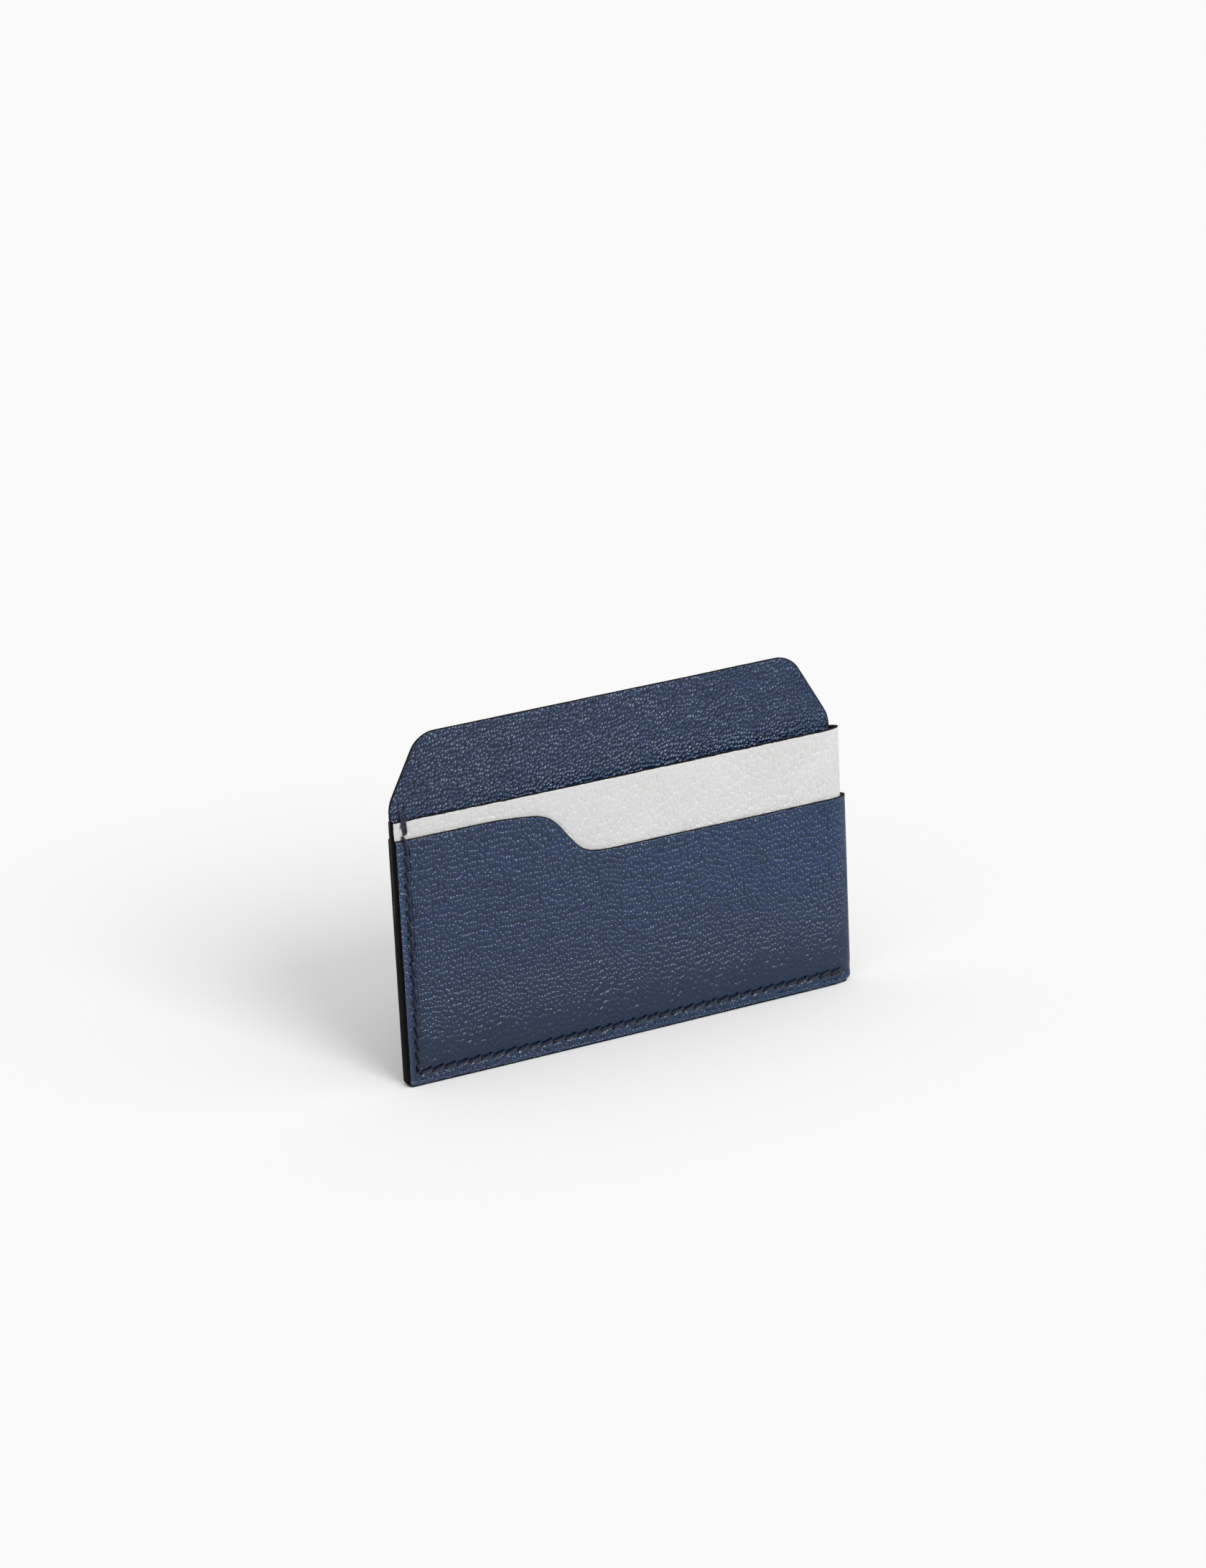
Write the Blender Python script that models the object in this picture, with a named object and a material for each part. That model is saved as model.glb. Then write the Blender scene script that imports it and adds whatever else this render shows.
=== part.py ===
"""Leather card holder: a tall centre panel between two folded wraps, saddle-stitched along two sides.

The holder stands on its long bottom edge. X runs along its width, with the stitched edge at -X and the
folded edge at +X. Its front faces -Y, and Z is up. The origin is the bottom centre of its bounding box.
Outlines are drawn in the XZ plane from the bottom left corner, in millimetres.
"""
import math

import bmesh
import bpy
from mathutils import Vector
from mathutils.geometry import interpolate_bezier

MM = 0.001

# Overall size and the leather stack.
WIDTH = 100.0
HEIGHT = 70.5
LEATHER = 0.5            # thickness of each layer
LAYER_GAP = 0.1          # gap between two neighbouring layers where they are stitched
PAINT = 0.2              # edge paint on the stitched edges
PAINT_GAP = 0.05         # gap that keeps the paint's solid off the leather's
EDGE_INSET = PAINT + PAINT_GAP
FOLD_LIFT = 0.15         # how much the bottom film thins round the fold, so the holder stands on its straight part
CORNER_RADIUS = 1.0      # bottom left corner of the whole stack

# Half depths of the stack, measured from its middle plane to the outer face of each layer.
PANEL_HALF = LEATHER / 2
INNER_HALF = PANEL_HALF + LAYER_GAP + LEATHER
OUTER_HALF = INNER_HALF + LAYER_GAP + LEATHER
POCKET_SPREAD = 0.6      # how much further each wrap stands off where no stitch holds it

# Folded edge at +X: each wrap turns round an ellipse that starts at FOLD_START.
FOLD_START = 95.5
OUTER_FOLD_END = WIDTH
INNER_FOLD_END = 99.0
FOLD_FACETS = 8

# Outlines.
PANEL_WIDTH = 97.15
PANEL_LEFT_SLANT = (57.25, 62.5)     # height where it would meet the straight side, degrees above horizontal
PANEL_RIGHT_SLANT = (56.15, 59.7)
PANEL_KNEE_RADIUS = 7.0
PANEL_TOP_RADIUS = 6.0
INNER_LIP_Z = 54.0
OUTER_LIP_HIGH_Z = 50.3
OUTER_LIP_LOW_Z = 39.6
LIP_CURVE_START = (22.0, OUTER_LIP_HIGH_Z)
LIP_CURVE_MIDDLE = (35.8, 45.7)
LIP_CURVE_END = (47.0, 39.85)
LIP_CURVE_SLOPE = 52.7       # steepest slope of the lip's curve, degrees
LIP_HANDLES = (9.5, 5.1, 6.5, 6.8)   # lengths of the curve's handles, from left to right
LIP_END_FALLS = (0.06, 0.02)         # gentle slopes where the curve leaves and meets the straight lips

# Facets of the round stretches.
CORNER_FACETS = 3
KNEE_FACETS = 4
TOP_FACETS = 6
LIP_CURVE_POINTS = 9

# Stitching.
SEAM_INSET = 2.5             # left seam's distance from the stitched edge
SEAM_STRIP = 5.0             # width of the strip that the stitches pinch flat
SPREAD_RUN = 35.0            # length over which a pocket opens to its full spread
SPREAD_STEPS = 5
LEFT_HOLE_FIRST_Z = 4.3
LEFT_HOLE_PITCH = 2.66
LEFT_HOLE_COUNT = 17
LIP_HOLES_Z = (55.8, 53.2, 51.0)
BOTTOM_HOLE_Z = 2.75
BOTTOM_HOLE_FIRST_X = 2.65
BOTTOM_HOLE_LAST_X = 97.4
BOTTOM_HOLE_COUNT = 37
SLIT_LENGTH = 1.4
SLIT_WIDTH = 0.48
SLIT_SPACING = 0.8           # distance between the two thread ends that share a slit
THREAD_RADIUS = 0.2
THREAD_CLEARANCE = 0.03
THREAD_SIDES = 6

# Room that a cutter has beyond what it cuts.
OVERSIZE = 5.0

BLUE = (0.035, 0.060, 0.125)
GREY = (0.72, 0.72, 0.71)
THREAD_COLOUR = (0.022, 0.020, 0.045)
PAINT_COLOUR = (0.006, 0.005, 0.005)


def clear_scene():
    for item in list(bpy.data.objects):
        bpy.data.objects.remove(item, do_unlink=True)


def place(x, y, z):
    """A point of the drawing, in millimetres from the bottom left corner, as a world position in metres."""
    return Vector(((x - WIDTH / 2) * MM, y * MM, z * MM))


def make_material(name, colour, roughness):
    material = bpy.data.materials.new(name)
    material.use_nodes = True
    shader = material.node_tree.nodes["Principled BSDF"]
    shader.inputs["Base Color"].default_value = (*colour, 1.0)
    shader.inputs["Roughness"].default_value = roughness
    shader.inputs["Metallic"].default_value = 0.0
    return material


def make_object(name, bm, material=None):
    bmesh.ops.recalc_face_normals(bm, faces=bm.faces[:])
    mesh = bpy.data.meshes.new(name)
    bm.to_mesh(mesh)
    bm.free()
    item = bpy.data.objects.new(name, mesh)
    bpy.context.collection.objects.link(item)
    if material:
        mesh.materials.append(material)
    return item


def add_prism(bm, outline, y_front, y_back):
    """Adds a closed prism: an outline of (x, z) points carried from y_front to y_back."""
    front = [bm.verts.new(place(x, y_front, z)) for x, z in outline]
    back = [bm.verts.new(place(x, y_back, z)) for x, z in outline]
    bm.faces.new(front)
    bm.faces.new(back[::-1])
    for i in range(len(outline)):
        j = (i + 1) % len(outline)
        bm.faces.new((front[j], front[i], back[i], back[j]))


def make_prism(name, outline, y_front, y_back, material=None):
    bm = bmesh.new()
    add_prism(bm, outline, y_front, y_back)
    return make_object(name, bm, material)


def cut(target, cutter, operation="DIFFERENCE"):
    """Leaves a Boolean modifier on target and marks its cutter as a construction object."""
    modifier = target.modifiers.new(cutter.name, "BOOLEAN")
    modifier.operation = operation
    modifier.solver = "EXACT"
    modifier.object = cutter
    cutter.hide_render = True
    cutter.display_type = "WIRE"


def arc(centre, radius, start, end, facets):
    """Points on a circle from angle start to angle end, in degrees."""
    angles = [math.radians(start + (end - start) * i / facets) for i in range(facets + 1)]
    return [(centre[0] + radius * math.cos(a), centre[1] + radius * math.sin(a)) for a in angles]


def bezier(start, start_handle, end_handle, end, points):
    corners = [Vector((x, z, 0.0)) for x, z in (start, start_handle, end_handle, end)]
    return [(p.x, p.y) for p in interpolate_bezier(*corners, points)]


# Outlines in the XZ plane

def bottom_left_corner():
    """The rounded corner that all layers share, just inside the edge paint."""
    radius = CORNER_RADIUS - EDGE_INSET
    return arc((CORNER_RADIUS, CORNER_RADIUS), radius, 180.0, 270.0, CORNER_FACETS)


def panel_knee_z(slant):
    """Height where the panel's straight side starts to turn into the slanted one."""
    shoulder_z, angle = slant
    return shoulder_z - PANEL_KNEE_RADIUS * math.tan(math.radians((90.0 - angle) / 2))


def panel_side(slant):
    """One side of the centre panel from its knee to its top edge, with x measured in from the straight side."""
    shoulder_z, angle = slant
    turn = 90.0 - angle
    slope = math.tan(math.radians(angle))
    knee_centre = (PANEL_KNEE_RADIUS, panel_knee_z(slant))
    knee = arc(knee_centre, PANEL_KNEE_RADIUS, 180.0, 180.0 - turn, KNEE_FACETS)
    corner_x = (HEIGHT - shoulder_z) / slope
    top_x = corner_x + PANEL_TOP_RADIUS * math.tan(math.radians(angle / 2))
    top = arc((top_x, HEIGHT - PANEL_TOP_RADIUS), PANEL_TOP_RADIUS, 180.0 - turn, 90.0, TOP_FACETS)
    return knee + top


def panel_outline():
    left = [(max(x, EDGE_INSET), z) for x, z in panel_side(PANEL_LEFT_SLANT)]
    right = [(PANEL_WIDTH - x, z) for x, z in panel_side(PANEL_RIGHT_SLANT)]
    return bottom_left_corner() + [(PANEL_WIDTH, EDGE_INSET)] + right + left[::-1]


def inner_outline():
    right = WIDTH + OVERSIZE
    return bottom_left_corner() + [(right, EDGE_INSET), (right, INNER_LIP_Z), (EDGE_INSET, INNER_LIP_Z)]


def lip_curve():
    """The S that takes the outer lip from its low right part up to its high left part."""
    slope = math.radians(LIP_CURVE_SLOPE)
    along = Vector((math.cos(slope), -math.sin(slope)))
    middle = Vector(LIP_CURVE_MIDDLE)
    start_run, before, after, end_run = LIP_HANDLES
    start_fall, end_fall = LIP_END_FALLS
    start_handle = (LIP_CURVE_START[0] + start_run, LIP_CURVE_START[1] - start_fall * start_run)
    end_handle = (LIP_CURVE_END[0] - end_run, LIP_CURVE_END[1] + end_fall * end_run)
    above = tuple(middle - before * along)
    below = tuple(middle + after * along)
    upper = bezier(LIP_CURVE_START, start_handle, above, LIP_CURVE_MIDDLE, LIP_CURVE_POINTS)
    lower = bezier(LIP_CURVE_MIDDLE, below, end_handle, LIP_CURVE_END, LIP_CURVE_POINTS)
    return (upper + lower[1:])[::-1]


def outer_outline():
    right = WIDTH + OVERSIZE
    top = [(right, OUTER_LIP_LOW_Z), (WIDTH, OUTER_LIP_LOW_Z)] + lip_curve() + [(EDGE_INSET, OUTER_LIP_HIGH_Z)]
    return bottom_left_corner() + [(right, EDGE_INSET)] + top


# Folded leather

def smooth_step(t):
    t = min(max(t, 0.0), 1.0)
    return t * t * (3.0 - 2.0 * t)


def spread(x, z):
    """0 where the stitches pinch the stack flat, 1 where the pockets stand open."""
    return smooth_step((x - SEAM_STRIP) / SPREAD_RUN) * smooth_step((z - SEAM_STRIP) / SPREAD_RUN)


def spread_stations():
    """Distances from a stitched edge between which a wrap's skin is straight."""
    return [-OVERSIZE] + [SEAM_STRIP + SPREAD_RUN * i / SPREAD_STEPS for i in range(SPREAD_STEPS + 1)]


def wrap_section(half, fold_end, z):
    """The skin of a wrap at height z, seen from above: front wing, fold, back wing as (x, y) points."""
    wing = [(x, half + POCKET_SPREAD * spread(x, z)) for x in spread_stations()]
    depth = half + POCKET_SPREAD * spread(FOLD_START, z)
    fold = []
    for i in range(FOLD_FACETS + 1):
        angle = math.pi * (i / FOLD_FACETS - 0.5)
        x = FOLD_START + (fold_end - FOLD_START) * math.cos(angle)
        fold.append((x, depth * math.sin(angle)))
    return [(x, -y) for x, y in wing] + fold + [(x, y) for x, y in reversed(wing)]


def make_wrap_blank(name, half, fold_end, top_z, material):
    """An oversize U of leather: its outer and inner skins over a grid of heights, closed at every rim."""
    heights = spread_stations() + [top_z + OVERSIZE]
    bm = bmesh.new()
    skins = []
    for inset in (0.0, LEATHER):
        rows = [wrap_section(half - inset, fold_end - inset, z) for z in heights]
        skins.append([[bm.verts.new(place(x, y, z)) for x, y in row] for row, z in zip(rows, heights)])
    outer, inner = skins
    last_row = len(heights) - 1
    last_column = len(outer[0]) - 1
    for row in range(last_row):
        for column in range(last_column):
            for skin in skins:
                bm.faces.new((skin[row][column], skin[row][column + 1],
                              skin[row + 1][column + 1], skin[row + 1][column]))
        for column in (0, last_column):
            bm.faces.new((outer[row][column], outer[row + 1][column],
                          inner[row + 1][column], inner[row][column]))
    for row in (0, last_row):
        for column in range(last_column):
            bm.faces.new((outer[row][column], outer[row][column + 1],
                          inner[row][column + 1], inner[row][column]))
    bmesh.ops.triangulate(bm, faces=bm.faces[:])
    return make_object(name, bm, material)


# Stitching

def seam_holes():
    """Every stitch hole from the top of the left seam to the fold, as (x, z, travel direction)."""
    down = Vector((0.0, -1.0))
    along = Vector((1.0, 0.0))
    left_z = list(LIP_HOLES_Z)
    left_z += [LEFT_HOLE_FIRST_Z + LEFT_HOLE_PITCH * i for i in reversed(range(LEFT_HOLE_COUNT))]
    step = (BOTTOM_HOLE_LAST_X - BOTTOM_HOLE_FIRST_X) / (BOTTOM_HOLE_COUNT - 1)
    holes = [(SEAM_INSET, z, down) for z in left_z]
    holes += [(BOTTOM_HOLE_FIRST_X + step * i, BOTTOM_HOLE_Z, along) for i in range(BOTTOM_HOLE_COUNT)]
    return holes


def slit_axis(travel):
    """Direction of a slit: it slants 45 degrees back and to the left of the seam's travel."""
    left = Vector((-travel.y, travel.x))
    return (left - travel).normalized()


def make_slit_cutter():
    """One slanted slot for each stitch hole, right through the stack."""
    bm = bmesh.new()
    depth = OUTER_HALF + POCKET_SPREAD + OVERSIZE
    for x, z, travel in seam_holes():
        axis = slit_axis(travel)
        side = Vector((-axis.y, axis.x))
        centre = Vector((x, z))
        corners = [(SLIT_LENGTH, SLIT_WIDTH), (-SLIT_LENGTH, SLIT_WIDTH),
                   (-SLIT_LENGTH, -SLIT_WIDTH), (SLIT_LENGTH, -SLIT_WIDTH)]
        outline = [tuple(centre + axis * a / 2 + side * b / 2) for a, b in corners]
        add_prism(bm, outline, -depth, depth)
    return make_object("slit_cutter", bm)


def stack_half(z):
    """Half depth of the layers that a hole at height z goes through."""
    if z > INNER_LIP_Z:
        return PANEL_HALF
    if z > OUTER_LIP_HIGH_Z:
        return INNER_HALF
    return OUTER_HALF


def strand(holes, first_side):
    """Half of the thread: stitches that lie in turn on the front (-1) and the back (+1) of the stack."""
    path = []
    for i in range(len(holes) - 1):
        side = first_side * (-1) ** i
        level = max(stack_half(holes[i][1]), stack_half(holes[i + 1][1]))
        y = side * (level + THREAD_CLEARANCE + THREAD_RADIUS)
        end = 1.0 if side > 0 else -1.0
        for (x, z, travel), way in ((holes[i], end), (holes[i + 1], -end)):
            at = Vector((x, z)) + slit_axis(travel) * way * SLIT_SPACING / 2
            path.append(place(at.x, y, at.y))
    return path


def thread_path():
    """One thread with a needle at each end: both halves leave the top hole and run down the seam."""
    holes = seam_holes()
    first_half = strand(holes, -1)
    second_half = strand(holes, 1)
    return first_half[::-1] + second_half


def slide_onto(point, direction, plane_point, normal):
    return point + direction * ((plane_point - point).dot(normal) / direction.dot(normal))


def make_tube(name, path, radius, sides, material):
    """A round rod along a path, mitred at each corner and capped at both ends."""
    bm = bmesh.new()
    start = (path[1] - path[0]).normalized()
    across = start.orthogonal().normalized()
    over = start.cross(across)
    ring = []
    for i in range(sides):
        angle = 2.0 * math.pi * i / sides
        ring.append(path[0] + radius * (math.cos(angle) * across + math.sin(angle) * over))
    rings = [[bm.verts.new(point) for point in ring]]
    for i in range(1, len(path)):
        arriving = (path[i] - path[i - 1]).normalized()
        leaving = (path[i + 1] - path[i]).normalized() if i + 1 < len(path) else arriving
        mitre = (arriving + leaving).normalized()
        ring = [slide_onto(point, arriving, path[i], mitre) for point in ring]
        rings.append([bm.verts.new(point) for point in ring])
    for before, after in zip(rings, rings[1:]):
        for j in range(sides):
            k = (j + 1) % sides
            bm.faces.new((before[j], before[k], after[k], after[j]))
    bm.faces.new(rings[0][::-1])
    bm.faces.new(rings[-1])
    item = make_object(name, bm, material)
    item.data.shade_smooth()
    return item


# Edge paint

def paint_outline():
    """An L seen from the front: a strip down the stitched edge and a strip along the bottom."""
    centre = (CORNER_RADIUS, CORNER_RADIUS)
    outer = arc(centre, CORNER_RADIUS, 180.0, 270.0, CORNER_FACETS)
    inner = arc(centre, CORNER_RADIUS - PAINT, 270.0, 180.0, CORNER_FACETS)
    right = WIDTH + OVERSIZE
    top = panel_knee_z(PANEL_LEFT_SLANT)
    return [(0.0, top)] + outer + [(right, 0.0), (right, PAINT)] + inner + [(PAINT, top)]


def make_fold_trimmer():
    """A block whose plan is that of the folded stack, to end the bottom strip round the fold."""
    section = wrap_section(OUTER_HALF, OUTER_FOLD_END, 0.0)
    bm = bmesh.new()
    low = [bm.verts.new(place(x, y, -OVERSIZE)) for x, y in section]
    high = [bm.verts.new(place(x, y, HEIGHT + OVERSIZE)) for x, y in section]
    bm.faces.new(low[::-1])
    bm.faces.new(high)
    for i in range(len(section)):
        j = (i + 1) % len(section)
        bm.faces.new((low[i], low[j], high[j], high[i]))
    return make_object("fold_trimmer", bm)


def make_fold_lift_cutter():
    """A wedge that lifts the underside of the bottom strip from the start of the fold to its end."""
    run = WIDTH - FOLD_START
    far_lift = FOLD_LIFT * (run + OVERSIZE) / run
    right = WIDTH + OVERSIZE
    outline = [(FOLD_START, -OVERSIZE), (right, -OVERSIZE), (right, far_lift), (FOLD_START, 0.0)]
    return make_prism("fold_lift", outline, -OUTER_HALF - OVERSIZE, OUTER_HALF + OVERSIZE)


def make_step_cutter(name, half, low_z):
    """Two boxes that narrow the paint above low_z to the layers within half of the middle plane."""
    bm = bmesh.new()
    far = OUTER_HALF + 2 * OVERSIZE
    high_z = HEIGHT + OVERSIZE
    outline = [(-OVERSIZE, low_z), (OVERSIZE, low_z), (OVERSIZE, high_z), (-OVERSIZE, high_z)]
    add_prism(bm, outline, -far, -half)
    add_prism(bm, outline, half, far)
    return make_object(name, bm)


def make_edge_paint(material):
    paint = make_prism("edge_paint", paint_outline(), -OUTER_HALF - OVERSIZE, OUTER_HALF + OVERSIZE, material)
    cut(paint, make_fold_trimmer(), "INTERSECT")
    cut(paint, make_fold_lift_cutter())
    cut(paint, make_step_cutter("outer_lip_step", INNER_HALF, OUTER_LIP_HIGH_Z))
    cut(paint, make_step_cutter("inner_lip_step", PANEL_HALF, INNER_LIP_Z))
    return paint


def make_wrap(name, half, fold_end, outline, top_z, slits, material):
    wrap = make_wrap_blank(name, half, fold_end, top_z, material)
    pattern = make_prism(name + "_pattern", outline, -OUTER_HALF - OVERSIZE, OUTER_HALF + OVERSIZE)
    cut(wrap, pattern, "INTERSECT")
    cut(wrap, slits)
    return wrap


def main():
    clear_scene()
    blue = make_material("blue_leather", BLUE, 0.5)
    grey = make_material("grey_leather", GREY, 0.6)
    thread = make_material("thread", THREAD_COLOUR, 0.45)
    paint = make_material("edge_paint", PAINT_COLOUR, 0.3)
    slits = make_slit_cutter()
    panel = make_prism("centre_panel", panel_outline(), -PANEL_HALF, PANEL_HALF, blue)
    cut(panel, slits)
    make_wrap("inner_wrap", INNER_HALF, INNER_FOLD_END, inner_outline(), INNER_LIP_Z, slits, grey)
    make_wrap("outer_wrap", OUTER_HALF, OUTER_FOLD_END, outer_outline(), OUTER_LIP_HIGH_Z, slits, blue)
    make_tube("stitching_thread", thread_path(), THREAD_RADIUS * MM, THREAD_SIDES, thread)
    make_edge_paint(paint)


main()
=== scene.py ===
"""Looks for the leather card holder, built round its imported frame.

Shapes are worked out in a drawing frame in millimetres: x runs right from the stitched edge, y runs back
from the middle of the leather stack and z runs up from the bottom edge.
"""
import math

import bmesh
import bpy
import numpy as np
from mathutils import Matrix, Vector


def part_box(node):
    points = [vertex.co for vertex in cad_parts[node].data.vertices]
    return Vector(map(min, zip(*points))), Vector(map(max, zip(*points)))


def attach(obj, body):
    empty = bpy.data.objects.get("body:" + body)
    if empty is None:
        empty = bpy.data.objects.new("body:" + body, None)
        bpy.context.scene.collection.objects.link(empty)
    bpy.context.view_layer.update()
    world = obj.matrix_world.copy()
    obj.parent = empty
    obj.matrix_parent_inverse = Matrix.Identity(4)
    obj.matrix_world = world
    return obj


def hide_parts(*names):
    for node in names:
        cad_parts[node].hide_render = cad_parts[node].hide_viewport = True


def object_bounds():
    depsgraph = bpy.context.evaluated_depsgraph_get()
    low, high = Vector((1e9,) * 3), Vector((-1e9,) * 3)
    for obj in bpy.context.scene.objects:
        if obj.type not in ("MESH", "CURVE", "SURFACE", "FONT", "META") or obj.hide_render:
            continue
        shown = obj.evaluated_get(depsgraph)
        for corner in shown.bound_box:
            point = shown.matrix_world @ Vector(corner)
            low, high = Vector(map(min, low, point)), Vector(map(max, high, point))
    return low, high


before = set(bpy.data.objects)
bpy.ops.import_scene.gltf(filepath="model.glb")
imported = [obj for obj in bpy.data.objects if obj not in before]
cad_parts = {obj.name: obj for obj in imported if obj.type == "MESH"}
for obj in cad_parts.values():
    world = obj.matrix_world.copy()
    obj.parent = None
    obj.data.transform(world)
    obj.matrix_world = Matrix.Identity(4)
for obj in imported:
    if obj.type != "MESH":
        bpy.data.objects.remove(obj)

MM = 0.001
cad_box = [list(corner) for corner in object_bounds()]


def box_mm(node):
    """Lowest and highest corner of a CAD node in the drawing frame."""
    low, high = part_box(node)
    left = cad_box[0][0] / MM
    return [(c[0] / MM - left, c[1] / MM, c[2] / MM) for c in (low, high)]


# Sizes read from the frame.
WIDTH = box_mm("outer_wrap")[1][0]
HEIGHT = box_mm("centre_panel")[1][2]
PANEL_WIDTH = box_mm("centre_panel")[1][0]
INNER_FOLD_END = box_mm("inner_wrap")[1][0]
OUTER_FOLD_END = WIDTH
INNER_LIP_Z = box_mm("inner_wrap")[1][2]
OUTER_LIP_HIGH_Z = box_mm("outer_wrap")[1][2]
PANEL_HALF = box_mm("centre_panel")[1][1]

# The leather stack.
LEATHER = 2 * PANEL_HALF
LAYER_GAP = 0.1          # gap between two neighbouring layers where they are stitched
INNER_HALF = PANEL_HALF + LAYER_GAP + LEATHER
OUTER_HALF = INNER_HALF + LAYER_GAP + LEATHER
POCKET_SPREAD = box_mm("outer_wrap")[1][1] - OUTER_HALF   # how far a wrap stands off where no stitch holds it
SEAM_STRIP = 5.0         # width of the strip that the stitches pinch flat
SPREAD_RUN = 35.0        # length over which a pocket opens to its full spread
FOLD_START = 95.5        # where each wrap starts to turn round its fold
BOW = 0.3                # how far the middle of the bottom edge bows to the front
BOW_LOSS = 0.6           # share of the bow that is gone at the top

# Outlines.
EDGE_X = 0.17            # where the leather starts under the edge paint
EDGE_Z = 0.20
LIP_DROP = 0.08          # how far the leather ends below its painted lip
CORNER_RADIUS = 1.1      # bottom left corner of the whole stack
OUTER_LIP_LOW_Z = 39.6
LIP_CURVE_START = (22.0, OUTER_LIP_HIGH_Z)
LIP_CURVE_MIDDLE = (35.8, 45.7)
LIP_CURVE_END = (47.0, 39.85)
LIP_CURVE_SLOPE = 52.7               # steepest slope of the lip's curve, degrees
LIP_HANDLES = (9.5, 5.1, 6.5, 6.8)   # lengths of the curve's handles, from left to right
LIP_END_FALLS = (0.06, 0.02)         # gentle slopes where the curve leaves and meets the straight lips
LIP_CURVE_POINTS = 60                # on each half of the curve
PANEL_LEFT_SLANT = (57.25, 62.5)     # height where it would meet the straight side, degrees above horizontal
PANEL_RIGHT_SLANT = (56.15, 59.7)
PANEL_KNEE_RADIUS = 7.0
PANEL_TOP_RADIUS = 6.0

# Unevenness. The front and the back take different stretches of the same ripple.
RIPPLE_WAVES = 7
RIPPLE_LENGTHS = (9.0, 34.0)
WRAP_RIPPLE = 0.05
PANEL_RIPPLE = 0.045
BACK_SHIFT = 200.0

# Stitching.
SEAM_INSET = 2.5         # left seam's distance from the stitched edge
LEFT_HOLE_FIRST_Z = 4.3
LEFT_HOLE_PITCH = 2.66
LEFT_HOLE_COUNT = 17
LIP_HOLES_Z = (55.8, 53.2, 51.0)
BOTTOM_HOLE_Z = 2.75
BOTTOM_HOLE_FIRST_X = 2.65
BOTTOM_HOLE_LAST_X = 97.4
BOTTOM_HOLE_COUNT = 37
SLIT_LENGTH = 1.4
STITCH_SPACING = 0.66    # distance between the two thread ends that share a slit
PLIES = 3
PLY_SIDES = 6
PLY_RADIUS = 0.135
PLY_OFFSET = 0.125       # distance of each ply from the strand's middle
PLY_TWIST = 1.5          # length of one turn of the plies
STITCH_LIFT = 0.18       # how far a strand's middle stands off the leather
STITCH_POINTS = 33
DOUBLE_SHIFT = 0.31      # how far each of two doubled strands lies beside the middle

# Dents in the leather, as depth and width.
STITCH_DENT = (0.17, 0.42)
SLIT_DENT = (0.30, 0.24)
SEAM_GROOVE = (0.10, 1.1)
CREASE_MARK = (0.05, 0.14)
CREASE_X = 0.95
BEVEL = (0.26, 0.75)
DEEPEST_IN_WRAP = 0.36
DEEPEST_IN_PANEL = 0.16

FAR = 9.0                # distance written for points that have no stitched edge near them

FRONT, BACK = -1, 1


def place(points):
    """Drawing points as world positions in metres, with the whole stack bowed a little to the front."""
    points = np.asarray(points, float)
    x, y, z = points[..., 0], points[..., 1], points[..., 2]
    across = 1.0 - ((x - WIDTH / 2) / (WIDTH / 2)) ** 2
    y = y - BOW * across * (1.0 - BOW_LOSS * np.clip(z / HEIGHT, 0.0, 1.0))
    world = np.stack([x + cad_box[0][0] / MM, y, z], axis=-1)
    return world * MM


def smooth_step(t):
    t = np.clip(t, 0.0, 1.0)
    return t * t * (3.0 - 2.0 * t)


def bell(distance, width):
    return np.exp(-(distance / width) ** 2)


def unit(vectors):
    return vectors / np.linalg.norm(vectors, axis=-1, keepdims=True)


def tangents(path):
    return unit(np.gradient(path, axis=0))


def run_along(path):
    """Distance of each point of a path from its start."""
    return np.concatenate([[0.0], np.cumsum(np.linalg.norm(np.diff(path, axis=0), axis=1))])


def square_to(axes, vectors):
    """Unit vectors square to the axes and as near as they can be to the given ones."""
    return unit(vectors - axes * np.sum(vectors * axes, axis=1, keepdims=True))


def spread(x, z):
    """How far a pocket is open: 0 in the stitched strips and 1 in the middle."""
    return smooth_step((x - SEAM_STRIP) / SPREAD_RUN) * smooth_step((z - SEAM_STRIP) / SPREAD_RUN)


def fold_turn(x):
    """How far a point has gone round the fold: 0 where it starts and 1 at its end."""
    return np.clip((x - FOLD_START) / (OUTER_FOLD_END - FOLD_START), 0.0, 1.0)


# Outlines

def bezier(points, count):
    t = np.linspace(0.0, 1.0, count)[:, None]
    a, b, c, d = (np.array(p) for p in points)
    return a * (1 - t) ** 3 + 3 * b * t * (1 - t) ** 2 + 3 * c * t * t * (1 - t) + d * t ** 3


def make_lip_curve():
    slope = math.radians(LIP_CURVE_SLOPE)
    along = np.array((math.cos(slope), -math.sin(slope)))
    start, middle, end = (np.array(p) for p in (LIP_CURVE_START, LIP_CURVE_MIDDLE, LIP_CURVE_END))
    run_a, before, after, run_b = LIP_HANDLES
    leave, meet = (np.array((1.0, -fall)) for fall in LIP_END_FALLS)
    upper = bezier((start, start + run_a * leave, middle - before * along, middle), LIP_CURVE_POINTS)
    lower = bezier((middle, middle + after * along, end - run_b * meet, end), LIP_CURVE_POINTS)
    return np.concatenate([upper, lower[1:]])


LIP_CURVE = make_lip_curve()


def outer_lip(x):
    xs = np.concatenate([[0.0], LIP_CURVE[:, 0], [WIDTH]])
    zs = np.concatenate([[OUTER_LIP_HIGH_Z], LIP_CURVE[:, 1], [OUTER_LIP_LOW_Z]])
    return np.interp(x, xs, zs)


def inner_lip(x):
    return np.full_like(np.asarray(x, float), INNER_LIP_Z)


def arc(centre, radius, start, end, count):
    angles = np.radians(np.linspace(start, end, count))
    return np.stack([centre[0] + radius * np.cos(angles), centre[1] + radius * np.sin(angles)], axis=1)


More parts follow.
